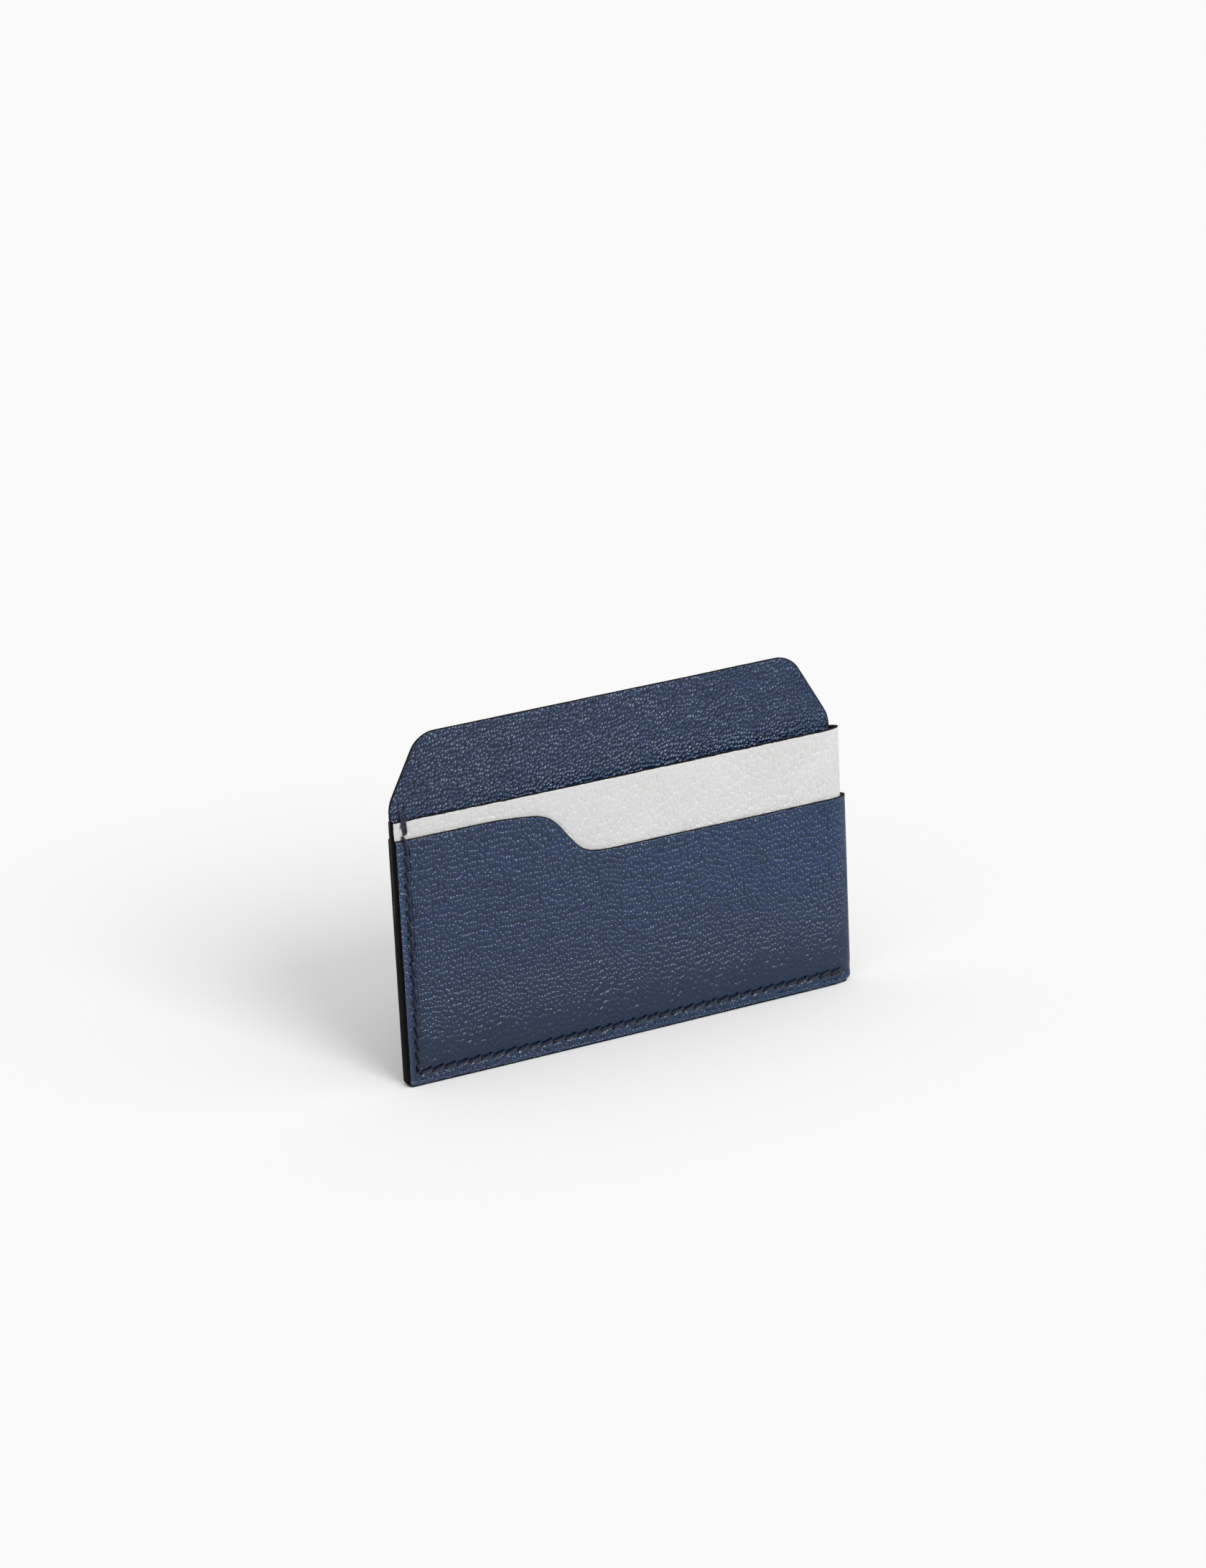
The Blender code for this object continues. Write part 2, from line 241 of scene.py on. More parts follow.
def panel_side(slant):
    """One side of the panel from its bottom corner to its top edge, x going in from the straight side."""
    shoulder_z, angle = slant
    turn = 90.0 - angle
    slope = math.tan(math.radians(angle))
    knee_z = shoulder_z - PANEL_KNEE_RADIUS * math.tan(math.radians(turn / 2))
    knee = arc((PANEL_KNEE_RADIUS, knee_z), PANEL_KNEE_RADIUS, 180.0, 180.0 - turn, 12)
    corner_x = (HEIGHT - shoulder_z) / slope
    top_x = corner_x + PANEL_TOP_RADIUS * math.tan(math.radians(angle / 2))
    top = arc((top_x, HEIGHT - PANEL_TOP_RADIUS), PANEL_TOP_RADIUS, 180.0 - turn, 90.0, 26)
    return np.concatenate([[(0.0, EDGE_Z)], knee, top])


PANEL_LEFT = panel_side(PANEL_LEFT_SLANT)
PANEL_RIGHT = panel_side(PANEL_RIGHT_SLANT) * (-1.0, 1.0) + (PANEL_WIDTH, 0.0)


def panel_right(z):
    return np.interp(z, PANEL_RIGHT[:, 1], PANEL_RIGHT[:, 0])


def panel_left(z):
    return np.interp(z, PANEL_LEFT[:, 1], PANEL_LEFT[:, 0])


# Stitches

def seam_holes():
    """Every stitch hole from the top of the left seam to the fold: (x, z) and the seam's direction."""
    left = list(LIP_HOLES_Z)
    left += [LEFT_HOLE_FIRST_Z + LEFT_HOLE_PITCH * i for i in reversed(range(LEFT_HOLE_COUNT))]
    xs = np.linspace(BOTTOM_HOLE_FIRST_X, BOTTOM_HOLE_LAST_X, BOTTOM_HOLE_COUNT)
    holes = [(np.array((SEAM_INSET, z)), np.array((0.0, -1.0))) for z in left]
    holes += [(np.array((x, BOTTOM_HOLE_Z)), np.array((1.0, 0.0))) for x in xs]
    return holes


HOLES = seam_holes()


def slit_axis(travel):
    """Direction of a slit: it slants 45 degrees back and to the left of the seam's travel."""
    return unit(np.array((-travel[1], travel[0])) - travel)


def stitch_ends(i, side):
    """Where stitch i leaves one hole and enters the next one, on the front or the back."""
    (start, way_a), (end, way_b) = HOLES[i], HOLES[i + 1]
    half = STITCH_SPACING / 2
    return start + slit_axis(way_a) * side * half, end - slit_axis(way_b) * side * half


STITCHES = {side: [stitch_ends(i, side) for i in range(len(HOLES) - 1)] for side in (FRONT, BACK)}


def segment_distance(x, z, start, end):
    line = end - start
    t = ((x - start[0]) * line[0] + (z - start[1]) * line[1]) / (line @ line)
    t = np.clip(t, 0.0, 1.0)
    return np.hypot(x - start[0] - t * line[0], z - start[1] - t * line[1])


def close_to(x, z, centre, reach):
    return (np.abs(x - centre[0]) < reach) & (np.abs(z - centre[1]) < reach)


def stitch_relief(x, z, side):
    """Depth pressed into the leather by the stitches, and how much each point is inside a slit."""
    pressed = np.zeros_like(x)
    pit = np.zeros_like(x)
    for start, end in STITCHES[side]:
        near = close_to(x, z, (start + end) / 2, 4.0)
        if near.any():
            dent = STITCH_DENT[0] * bell(segment_distance(x[near], z[near], start, end), STITCH_DENT[1])
            pressed[near] = np.maximum(pressed[near], dent)
    for centre, travel in HOLES:
        near = close_to(x, z, centre, 2.0)
        if near.any():
            axis = slit_axis(travel) * SLIT_LENGTH / 2
            distance = segment_distance(x[near], z[near], centre - axis, centre + axis)
            pit[near] = np.maximum(pit[near], bell(distance, SLIT_DENT[1]))
    left = bell(x - SEAM_INSET, SEAM_GROOVE[1]) * smooth_step((z - 1.0) / 2.0)
    bottom = bell(z - BOTTOM_HOLE_Z, SEAM_GROOVE[1]) * smooth_step((x - 1.0) / 2.0)
    groove = SEAM_GROOVE[0] * np.maximum(left, bottom)
    return pressed + SLIT_DENT[0] * pit + groove, pit


def ripple(x, z, seed):
    """Gentle unevenness of hand-worked leather, about 1 from peak to middle."""
    rng = np.random.default_rng(seed)
    total = np.zeros_like(x)
    for _ in range(RIPPLE_WAVES):
        angle, phase = rng.uniform(0, math.pi), rng.uniform(0, 2 * math.pi)
        length = rng.uniform(*RIPPLE_LENGTHS)
        total += np.sin((x * math.cos(angle) + z * math.sin(angle)) * 2 * math.pi / length + phase)
    return total / 3.0


# Mesh building
#
# The leather carries what its materials read: hide is the place on the flat hide in mm, pit is 1 inside a
# slit, below_lip is the distance below the lip, side and edge are the distances from the stitched side and
# from the nearest stitched edge, and flesh is 1 on the raw side.

def make_mesh(name, points, faces, attributes=None):
    mesh = bpy.data.meshes.new(name)
    mesh.from_pydata(place(points).tolist(), [], faces)
    for key, values in (attributes or {}).items():
        values = np.asarray(values, float)
        kind, field = ("FLOAT_VECTOR", "vector") if values.ndim == 2 else ("FLOAT", "value")
        layer = mesh.attributes.new(key, kind, "POINT")
        layer.data.foreach_set(field, values.ravel())
    mesh.validate()
    mesh.shade_smooth()
    item = bpy.data.objects.new(name, mesh)
    bpy.context.collection.objects.link(item)
    return item


def grid_faces(rows, columns, start=0, flip=False):
    index = start + np.arange(rows * columns).reshape(rows, columns)
    quads = np.stack([index[:-1, :-1], index[:-1, 1:], index[1:, 1:], index[1:, :-1]], axis=-1)
    quads = quads.reshape(-1, 4)
    return (quads[:, ::-1] if flip else quads).tolist()


def rim_faces(fine, coarse, step):
    """Closes a rim between a row of fine vertices and a row with one vertex for every step of them."""
    faces = []
    for j in range(len(coarse) - 1):
        piece = list(fine[j * step:(j + 1) * step + 1])
        faces.append(piece + [coarse[j + 1], coarse[j]])
    return faces


def closed_sheet(name, outer, inner, step, attributes, flesh):
    """A sheet of leather from its outer skin and a coarser inner skin, closed at all four rims."""
    rows, columns = outer.shape[:2]
    low_rows, low_columns = inner.shape[:2]
    offset = rows * columns
    faces = grid_faces(rows, columns) + grid_faces(low_rows, low_columns, offset, flip=True)
    top = np.arange(rows * columns).reshape(rows, columns)
    bottom = offset + np.arange(low_rows * low_columns).reshape(low_rows, low_columns)
    faces += [f[::-1] for f in rim_faces(top[0], bottom[0], step)]
    faces += rim_faces(top[-1], bottom[-1], step)
    faces += rim_faces(top[:, 0], bottom[:, 0], step)
    faces += [f[::-1] for f in rim_faces(top[:, -1], bottom[:, -1], step)]
    points = np.concatenate([outer.reshape(-1, 3), inner.reshape(-1, 3)])
    values = {}
    for key, grid in attributes.items():
        low = grid[::step, ::step]
        tail = grid.shape[2:]
        values[key] = np.concatenate([grid.reshape((-1,) + tail), low.reshape((-1,) + tail)])
    values["flesh"] = np.concatenate([np.zeros(rows * columns), np.full(low_rows * low_columns, flesh)])
    return make_mesh(name, points, faces, values)


def stations(*runs):
    """Joined evenly spaced runs: (start, end, count), each without its end, then the last end."""
    parts = [np.linspace(start, end, count, endpoint=False) for start, end, count in runs]
    return np.concatenate(parts + [[runs[-1][1]]])


def round_corner(x, z):
    """Moves points of a layer's square bottom-left corner in, so that it follows the rounded paint."""
    u = (CORNER_RADIUS - x) / (CORNER_RADIUS - EDGE_X)
    v = (CORNER_RADIUS - z) / (CORNER_RADIUS - EDGE_Z)
    inside = (u > 0.0) & (v > 0.0)
    u, v = np.where(inside, u, 1.0), np.where(inside, v, 1.0)
    share = np.where(inside, np.maximum(u, v) / np.hypot(u, v), 1.0)
    round_x = CORNER_RADIUS - (CORNER_RADIUS - EDGE_X) * u * share
    round_z = CORNER_RADIUS - (CORNER_RADIUS - EDGE_Z) * v * share
    return np.where(inside, round_x, x), np.where(inside, round_z, z)


# Folded wraps

STEP = 4                 # outer skin's vertices for each one of the inner skin
FOLD_COLUMNS = 32
FOLD_END_RADIUS = 1.5    # rounding of the folded side's bottom end
FOLD_END_INSET = 1.3     # how far in the paint ends at the bottom of the fold


def bevel(distance):
    """How far the burnished face turns in towards the middle of the stack near an edge."""
    return BEVEL[0] * np.clip(1.0 - distance / BEVEL[1], 0.0, None) ** 2


def fold_end_round(z):
    """How far the folded side turns in at its bottom end."""
    below = np.clip(1.0 - z / FOLD_END_RADIUS, 0.0, 1.0)
    return FOLD_END_RADIUS * (1.0 - np.sqrt(1.0 - below ** 2))


def crease_line(x, z, lip):
    """The thin line that a creasing tool leaves beside the stitched edge."""
    ends = smooth_step((z - 1.2) / 0.6) * smooth_step((lip - z - 0.2) / 0.4)
    return CREASE_MARK[0] * bell(x - CREASE_X, CREASE_MARK[1]) * ends


def make_wrap(name, half, fold_end, lip, wing_runs, low_z, row_counts, stitched_from, seed):
    """A folded sheet, and the points and normals of its lip for the lip's paint."""
    wing = stations(*wing_runs)
    turns = np.linspace(-math.pi / 2, math.pi / 2, FOLD_COLUMNS + 1)
    straight = np.full(len(wing) - 1, math.pi / 2)
    phi = np.concatenate([-straight, turns, straight])
    base = np.concatenate([wing[:-1], np.full(len(turns), FOLD_START), wing[:-1][::-1]])
    reach = fold_end - FOLD_START
    x_line = base + reach * np.cos(phi)
    lip_line = lip(x_line) - LIP_DROP

    lower = np.repeat(np.linspace(EDGE_Z, low_z, row_counts[0], endpoint=False)[:, None], len(phi), axis=1)
    share = np.linspace(0.0, 1.0, row_counts[1] + 1)[:, None]
    z = np.concatenate([lower, low_z + share * (lip_line[None, :] - low_z)])
    base = np.broadcast_to(base, z.shape)
    phi = np.broadcast_to(phi, z.shape)
    base, z = round_corner(base, z)
    x = base + reach * np.cos(phi)
    depth = half + POCKET_SPREAD * spread(base, z)

    normal = unit(np.stack([np.cos(phi) / reach, np.sin(phi) / depth], axis=-1))
    relief = np.zeros_like(z)
    pit = np.zeros_like(z)
    for side in (FRONT, BACK):
        mask = (np.sin(phi) * side > -0.001) & (z > stitched_from)
        pressed, holes = stitch_relief(x[mask], z[mask], side)
        relief[mask] = np.maximum(relief[mask], pressed)
        pit[mask] = np.maximum(pit[mask], holes)
    on_wing = np.abs(np.cos(phi)) < 0.001
    inward = bevel(x) * on_wing + bevel(z) + np.minimum(relief, DEEPEST_IN_WRAP)
    inward += crease_line(x, z, lip_line[None, :])
    tuck = fold_end_round(z) * np.cos(phi) ** 2
    inward += tuck
    # The ripple fades out in the stitched strips and round the fold.
    free = smooth_step((x - 6.0) / 12.0) * smooth_step((z - 6.0) / 10.0)
    free = free * smooth_step((FOLD_START - base) / 4.0)
    inward -= WRAP_RIPPLE * ripple(x + BACK_SHIFT * (np.sin(phi) > 0), z, seed) * free
    outer = np.stack([x - inward * normal[..., 0], depth * np.sin(phi) - inward * normal[..., 1], z], axis=-1)
    inner_x = base + (reach - LEATHER - tuck) * np.cos(phi)
    inner = np.stack([inner_x, (depth - LEATHER) * np.sin(phi), z], axis=-1)

    section = np.stack([x[-1], depth[-1] * np.sin(phi[-1])], axis=-1)
    run = run_along(section)
    hide = np.stack([np.broadcast_to(run, z.shape), z, np.full_like(z, 10.0 * seed)], axis=-1)
    attributes = {"hide": hide, "pit": pit, "below_lip": lip_line[None, :] - z,
                  "side": np.where(on_wing, x, FAR)}
    attributes["edge"] = np.minimum(attributes["side"], z)
    sheet = closed_sheet(name, outer, inner[::STEP, ::STEP], STEP, attributes, flesh=1.0)
    rim_normal = np.stack([normal[-1, :, 0], normal[-1, :, 1], np.zeros(len(lip_line))], axis=-1)
    return sheet, outer[-1], rim_normal


# Painted edges

# Rings of a bead as distance out from the leather and height: heights above 0 are shares of the crown, and
# those below 0 shares of the overlap.
BEAD_PROFILE = ((0.012, -1.0), (0.022, -0.5), (0.026, 0.0), (0.0, 0.45), (-0.1, 0.85), (-0.25, 1.0),
                (-0.4, 0.85), (-0.5, 0.45), (-0.526, 0.0), (-0.522, -2.0), (-0.512, -4.0))
BEAD_CROWN = 0.10
BEAD_BACK_FROM = 6       # first ring on the inner side of the lip
CROWN_WANDER = (0.15, 1.3)       # share of the crown, and length
BORDER_LENGTHS = (0.35, 1.7)     # lengths on which the paint's border on the leather wanders


def wander(run, seed, length):
    """Smooth random numbers about -1 to 1 along a path, on a given length scale."""
    rng = np.random.default_rng(seed)
    knots = np.arange(run[0], run[-1] + 2 * length, length)
    values = rng.uniform(-1.0, 1.0, len(knots))
    return np.interp(run, knots, values)


def make_bead(name, edge, normal, overlap, ragged, seed):
    """Edge paint over the rim of a sheet: edge holds the rim's outer points, normal points away from it."""
    up = unit(np.cross(normal, tangents(edge)))
    run = run_along(edge)
    rings = []
    for k, (out, rise) in enumerate(BEAD_PROFILE):
        if rise >= 0:
            height = BEAD_CROWN * rise * (1.0 + CROWN_WANDER[0] * wander(run, seed + 7, CROWN_WANDER[1]))
        else:
            start = seed + (k >= BEAD_BACK_FROM)
            height = rise * overlap * (1.0 + ragged * wander(run, start, BORDER_LENGTHS[0])
                                       + ragged * wander(run, start + 3, BORDER_LENGTHS[1]))
        rings.append(edge + normal * out + up * height[:, None])
    return tube_mesh(name, np.stack(rings, axis=1))


def tube_faces(count, sides, start=0):
    index = start + np.arange(count * sides).reshape(count, sides)
    following = np.roll(index, -1, axis=1)
    quads = np.stack([index[:-1], following[:-1], following[1:], index[1:]], axis=-1).reshape(-1, 4)
    return quads.tolist() + [index[0][::-1].tolist(), index[-1].tolist()]


def tube_mesh(name, points):
    """A closed tube through rings of points, with flat ends."""
    count, sides = points.shape[:2]
    item = make_mesh(name, points.reshape(-1, 3), tube_faces(count, sides))
    fix_normals(item)
    return item


def fix_normals(item):
    mesh = bmesh.new()
    mesh.from_mesh(item.data)
    bmesh.ops.recalc_face_normals(mesh, faces=mesh.faces[:])
    mesh.to_mesh(item.data)
    mesh.free()


PAINT_TOP_Z = 54.9       # where the painted stack ends under the panel's shoulder
# Height of each step in the painted stack at a lip, and the half depth that is lost there.
LIP_STEPS = ((50.15, OUTER_HALF - INNER_HALF), (53.85, INNER_HALF - PANEL_HALF))
LIP_STEP_RUN = 0.3
FOLD_END_RISE = 0.12     # how far the painted bottom edge has risen at the end of the fold
FOLD_PINCH = 0.12        # share by which the stack is thinner round the fold


def stack_outline():
    """The stack's painted outline from its top to the fold: points (x, z), outward ways, half depths."""
    r = CORNER_RADIUS
    down = np.stack([np.zeros(160), np.linspace(PAINT_TOP_Z, r, 160)], axis=1)
    corner = arc((r, r), r, 180.0, 270.0, 13)
    along = np.stack([np.linspace(r, FOLD_START, 190), np.zeros(190)], axis=1)
    angles = np.linspace(0.0, math.pi / 2, 26)[1:]
    fold_x = FOLD_START + (OUTER_FOLD_END - FOLD_END_INSET - FOLD_START) * np.sin(angles)
    fold = np.stack([fold_x, FOLD_END_RISE * (1.0 - np.cos(angles))], axis=1)
    path = np.concatenate([down, corner[1:], along[1:], fold])
    tangent = tangents(path)
    out = np.stack([tangent[:, 1], -tangent[:, 0]], axis=1)
    x, z = path.T
    half = OUTER_HALF - sum(loss * smooth_step((z - at) / LIP_STEP_RUN) for at, loss in LIP_STEPS)
    turn = fold_turn(x)
    half = half * np.maximum(np.sqrt(1.0 - turn ** 2), 0.02) * (1.0 - FOLD_PINCH * smooth_step(2.5 * turn))
    return path, out, half


# The painted edge's profile as a share of the half depth and how far in it lies. The paint's border on the
# leather, at the two insets named below, is ragged.
RAGGED_INSETS = (0.40, 0.46)
BAND_PROFILE = ((-0.80, 0.62), (-0.975, 0.46), (-1.0, 0.40), (-1.0, 0.30), (-0.965, 0.20), (-0.88, 0.115),
                (-0.72, 0.055), (-0.45, 0.015), (-0.15, 0.0), (0.15, 0.0), (0.45, 0.015), (0.72, 0.055),
                (0.88, 0.115), (0.965, 0.20), (1.0, 0.30), (1.0, 0.40), (0.975, 0.46), (0.80, 0.62))


def make_stack_paint(name):
    path, out, half = stack_outline()
    run = run_along(path)
    rings = []
    for across, inset in BAND_PROFILE:
        # The paint lies flatter where the stack is thinner, and flatter along the bottom than up the side.
        sag = inset * (0.55 + 0.45 * half / OUTER_HALF) * (1.0 + 0.42 * out[:, 1])
        if inset in RAGGED_INSETS:
            sag = sag + 0.05 * wander(run, 31 + (across > 0), 0.5)
            sag = sag + 0.04 * wander(run, 33 + (across > 0), 2.1)
        wave = 0.015 * wander(run, 40, 3.0) if inset < 0.3 else 0.0
        flat = path - out * (np.maximum(sag, 0.0) + np.abs(wave))[:, None]
        rings.append(np.stack([flat[:, 0], across * half, flat[:, 1]], axis=1))
    return tube_mesh(name, np.stack(rings, axis=1))


# Centre panel

PANEL_DIP = 0.38         # how far the panel dips back in the pocket
PANEL_DIP_Z = 58.4       # height where the dip starts
PANEL_DIP_DROP = 4.5     # height over which it comes about


def panel_bend(x, z):
    """The panel dips back a little where it goes down into the pocket, more towards the fold."""
    start_z = PANEL_DIP_Z + 0.9 * np.sin(x / 7.0)
    return PANEL_DIP * smooth_step((start_z - z) / PANEL_DIP_DROP) * smooth_step((x - 14.0) / 45.0)


def panel_swell(x, z):
    return PANEL_RIPPLE * ripple(x, z, 5) * smooth_step((z - 56.0) / 3.0)


PANEL_SEEN_FROM = 48.0   # coarse rows below, which the wraps hide
PANEL_CROWN_FROM = 65.0  # rows grow finer above, towards the round top corners
PANEL_BEAD_LOW_Z = 34.0  # where the panel's bead of paint starts and ends


def make_panel(name):
    low = stations((EDGE_Z, PANEL_SEEN_FROM, 8), (PANEL_SEEN_FROM, PANEL_CROWN_FROM, 48))[:-1]
    crown = 1.0 - np.linspace(1.0, 0.0, 29) ** 2
    z_line = np.concatenate([low, PANEL_CROWN_FROM + (HEIGHT - LIP_DROP - PANEL_CROWN_FROM) * crown])
    share = stations((0.0, 0.05, 24), (0.05, 1.0, 210))
    left, right = panel_left(z_line) + LIP_DROP, panel_right(z_line) - LIP_DROP
    x = left[:, None] + (right - left)[:, None] * share[None, :]
    x, z = round_corner(x, np.broadcast_to(z_line[:, None], x.shape))
    skins = []
    pits = []
    visible = z > INNER_LIP_Z - 1.0
    for side in (FRONT, BACK):
        relief, pit = stitch_relief(x, z, side)
        sink = np.where(visible, np.minimum(relief, DEEPEST_IN_PANEL), 0.0)
        y = side * (PANEL_HALF - sink) + panel_bend(x, z) - panel_swell(x, z)
        skins.append(np.stack([x, y, z], axis=-1))
        pits.append(np.where(visible, pit, 0.0))
    hide = np.stack([x, z, np.full_like(x, 70.0)], axis=-1)
    far = np.full_like(x, FAR)
    attributes = {"hide": hide, "pit": np.maximum(*pits), "below_lip": HEIGHT - z, "edge": far, "side": far}
    return closed_sheet(name, skins[0], skins[1], 1, attributes, flesh=0.0)


def make_panel_bead(name):
    corners = np.concatenate([[(0.0, PANEL_BEAD_LOW_Z)], PANEL_LEFT[1:], PANEL_RIGHT[:0:-1],
                              [(PANEL_WIDTH, PANEL_BEAD_LOW_Z)]])
    lengths = run_along(corners)
    run = np.linspace(0.0, lengths[-1], 560)
    x, z = np.interp(run, lengths, corners[:, 0]), np.interp(run, lengths, corners[:, 1])
    tangent = tangents(np.stack([x, z], axis=1))
    x, z = x + tangent[:, 1] * LIP_DROP, z - tangent[:, 0] * LIP_DROP
    edge = np.stack([x, -PANEL_HALF + panel_bend(x, z) - panel_swell(x, z), z], axis=1)
    normal = np.tile((0.0, -1.0, 0.0), (len(run), 1))
    return make_bead(name, edge, normal, overlap=0.07, ragged=0.35, seed=61)


# Seam thread

def surface_half(z):
    """Half depth of the stack at the seam at height z."""
    return np.where(z > INNER_LIP_Z, PANEL_HALF, np.where(z > OUTER_LIP_HIGH_Z, INNER_HALF, OUTER_HALF))


def skin_depth(x, z):
    """Half depth of the visible surface at a point of the seam, round the fold as well."""
    return surface_half(z) * np.sqrt(1.0 - fold_turn(x) ** 2)


def taut(run, height):
    """The upper hull of a height profile: how a pulled thread bridges the steps below it."""
    hull = [0]
    for i in range(1, len(run)):
        while len(hull) > 1:
            a, b = hull[-2], hull[-1]
            cross = (run[b] - run[a]) * (height[i] - height[a]) - (height[b] - height[a]) * (run[i] - run[a])
            if cross < 0:
                break
            hull.pop()
        hull.append(i)
    return np.interp(run, run[hull], height[hull])


RISE_RUN = 0.2           # length over which a strand rises out of its hole to its full lift
DIVE = (0.50, 0.10)      # depth and run of its way down into the hole
WAIST = (0.10, 0.45)     # depth and width of the dip where a doubled strand passes a hole


def stitch_line(start, end, side, shift, lift, waist=None):
    """The middle line of one stitch, out of one hole and into another, drawn in at a hole that it passes."""
    span = np.linalg.norm(end - start)
    even = np.linspace(0.0, 1.0, STITCH_POINTS)
    t = smooth_step(even) * 0.5 + even * 0.5
    flat = start + (end - start) * t[:, None]
    along = (end - start) / span
    flat = flat + np.array((-along[1], along[0])) * shift * np.sin(math.pi * t)[:, None] ** 0.4
    from_end = np.minimum(t, 1.0 - t) * span
    height = taut(t * span, skin_depth(flat[:, 0], flat[:, 1]))
    height = height + lift * (1.0 - np.exp(-from_end / RISE_RUN)) - DIVE[0] * np.exp(-from_end / DIVE[1])
    if waist is not None:
        height = height - WAIST[0] * bell(np.hypot(*(flat - waist).T), WAIST[1])
    return np.stack([flat[:, 0], side * height, flat[:, 1]], axis=1)


def ply_tubes(line, phase):
    """The plies twisted round a middle line, each as rings of points."""
    tangent = tangents(line)
    across = square_to(tangent, np.cross(unit(line[-1] - line[0]), (0.0, 1.0, 0.0)))
    over = np.cross(tangent, across)
    run = run_along(line)
    tubes = []
    sides = np.arange(PLY_SIDES) * 2 * math.pi / PLY_SIDES
    for ply in range(PLIES):
        angle = phase + run / PLY_TWIST * 2 * math.pi + ply * 2 * math.pi / PLIES
        centre = line + PLY_OFFSET * (np.cos(angle)[:, None] * across + np.sin(angle)[:, None] * over)
        way = tangents(centre)
        u = square_to(way, across)
        v = np.cross(way, u)
        ring = centre[:, None] + PLY_RADIUS * (np.cos(sides)[None, :, None] * u[:, None]
                                               + np.sin(sides)[None, :, None] * v[:, None])
        tubes.append((ring, run))
    return tubes


def strands(side):
    """Every strand on one side as start, end, shift and waist. The first and last stitches are doubled."""
    stitches = STITCHES[side]
    top = (stitches[0][0], stitches[1][1])
    found = [(*top, shift, HOLES[1][0]) for shift in (-DOUBLE_SHIFT, DOUBLE_SHIFT)]
    found += [(start, end, 0.0, None) for start, end in stitches[2:-2]]
    return found + [(start, end, shift, None) for start, end in stitches[-2:]
                    for shift in (-DOUBLE_SHIFT, DOUBLE_SHIFT)]


def make_thread(name):
    rng = np.random.default_rng(11)
    points, faces, twist = [], [], []
    offset = 0
    for side in (FRONT, BACK):
        for start, end, shift, waist in strands(side):
            jitter = rng.normal(0.0, 0.03, 2)
            lift = STITCH_LIFT + rng.uniform(-0.02, 0.03)
            line = stitch_line(start + jitter, end - jitter, side, shift, lift, waist)
            for ring, run in ply_tubes(line, rng.uniform(0.0, 2 * math.pi)):
                faces += tube_faces(*ring.shape[:2], offset)
                points.append(ring.reshape(-1, 3))
                twist.append(np.repeat(run, ring.shape[1]))
                offset += len(points[-1])
    item = make_mesh(name, np.concatenate(points), faces, {"run": np.concatenate(twist)})
    fix_normals(item)
    return item


# Materials

class Nodes:
    """A short way to build a node tree."""

    def __init__(self, tree):
        self.tree = tree

    def add(self, kind, settings=None, **inputs):
        made = self.tree.nodes.new(kind)
        for key, value in (settings or {}).items():
            setattr(made, key, value)
        for key, value in inputs.items():
            self.feed(made, key.replace("_", " "), value)
        return made

    def feed(self, made, key, value):
        socket = made.inputs[int(key) if key.isdigit() else key]
        if isinstance(value, bpy.types.NodeSocket):
            self.tree.links.new(value, socket)
        else:
            socket.default_value = value

    def math(self, operation, a, b=0.0, c=0.0):
        made = self.add("ShaderNodeMath", {"operation": operation})
        for i, value in enumerate((a, b, c)):
            self.feed(made, str(i), value)
        return made.outputs[0]

    def vector(self, operation, a, b):
        made = self.add("ShaderNodeVectorMath", {"operation": operation})
        self.feed(made, "0", a)
        self.feed(made, "1", b)
        return made.outputs[0]

    def axes(self, vector):
        return self.add("ShaderNodeSeparateXYZ", Vector=vector).outputs

    def grey(self, value):
        made = self.add("ShaderNodeCombineColor")
        for i in range(3):
            self.feed(made, str(i), value)
        return made.outputs[0]

    def ramp(self, value, low, high, out_low=0.0, out_high=1.0, smooth=True):
        made = self.add("ShaderNodeMapRange", {"interpolation_type": "SMOOTHSTEP" if smooth else "LINEAR"})
        for key, item in (("Value", value), ("From Min", low), ("From Max", high),
                          ("To Min", out_low), ("To Max", out_high)):
            self.feed(made, key, item)
        return made.outputs["Result"]

    def mix(self, factor, a, b, blend="MIX"):
        made = self.add("ShaderNodeMix", {"data_type": "RGBA", "blend_type": blend})
        self.feed(made, "0", factor)
        for key, value in (("6", a), ("7", b)):
            self.feed(made, key, value if isinstance(value, bpy.types.NodeSocket) else (*value, 1.0))
        return made.outputs[2]

    def noise(self, vector, scale, detail=2.0, output="Fac"):
        return self.add("ShaderNodeTexNoise", Vector=vector, Scale=scale, Detail=detail).outputs[output]

    def cells(self, vector, feature, loose):
        return self.add("ShaderNodeTexVoronoi", {"voronoi_dimensions": "2D", "feature": feature},
                        Vector=vector, Scale=1.0, Randomness=loose).outputs

    def attribute(self, name, output="Fac"):
        return self.add("ShaderNodeAttribute", {"attribute_name": name}).outputs[output]

    def object_place(self):
        return self.add("ShaderNodeTexCoord").outputs["Object"]

    def bump(self, shader, height, strength, distance):
        made = self.add("ShaderNodeBump", Strength=strength, Distance=distance, Height=height)
        self.feed(shader, "Normal", made.outputs["Normal"])


def new_material(name):
    material = bpy.data.materials.new(name)
    material.use_nodes = True
    nodes = Nodes(material.node_tree)
    return material, nodes, material.node_tree.nodes["Principled BSDF"]


